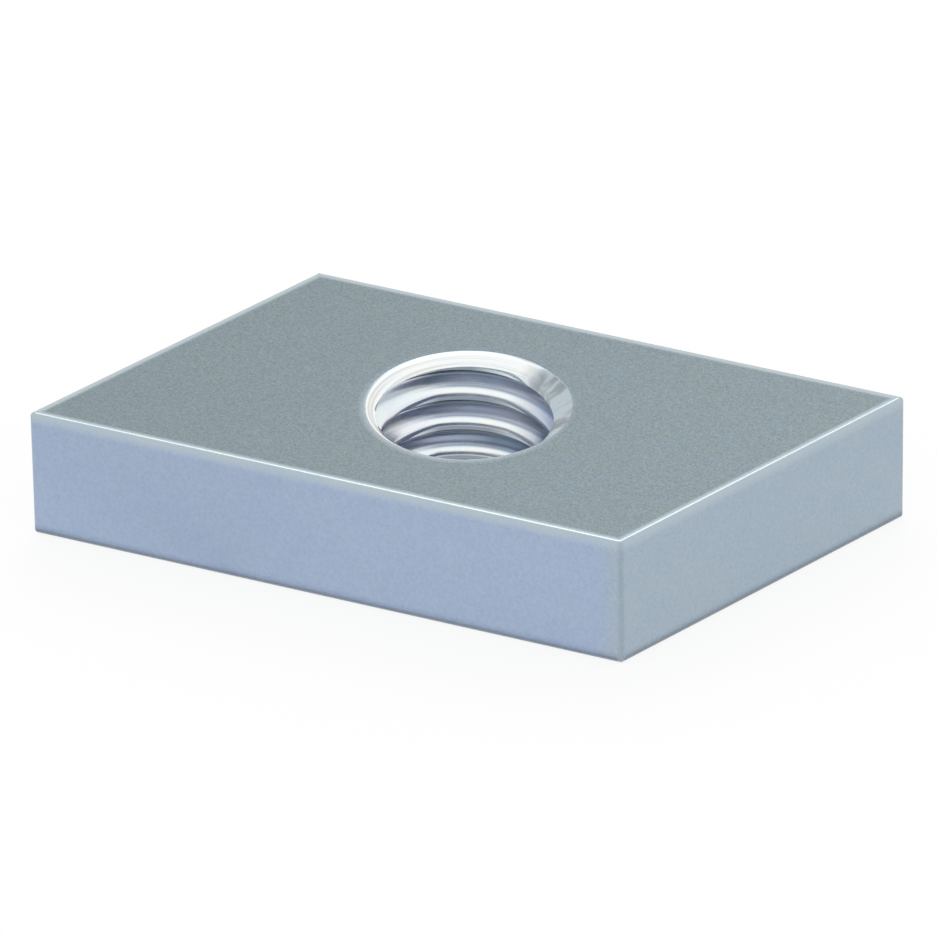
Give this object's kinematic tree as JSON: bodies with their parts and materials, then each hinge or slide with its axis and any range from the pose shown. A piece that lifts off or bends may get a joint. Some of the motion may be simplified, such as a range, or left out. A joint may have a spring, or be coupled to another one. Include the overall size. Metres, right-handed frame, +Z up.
{
  "type": "sliding nut",
  "caption": "Rhomboid steel sliding nut for slotted rails: flat plate with rounded edges and a countersunk tapped hole through its middle.",
  "frame": {"origin": "centre of the bottom face, on the axis of the tapped hole", "axes": "+X along the two long edges, +Z up along the tapped hole, out of the clamping face"},
  "size_m": [0.0226, 0.0102, 0.004],
  "materials": {
    "zinc_plated_steel": "satin"
  },
  "bodies": {
    "root": {"sliding_nut": "zinc_plated_steel"}
  },
  "joints": []
}
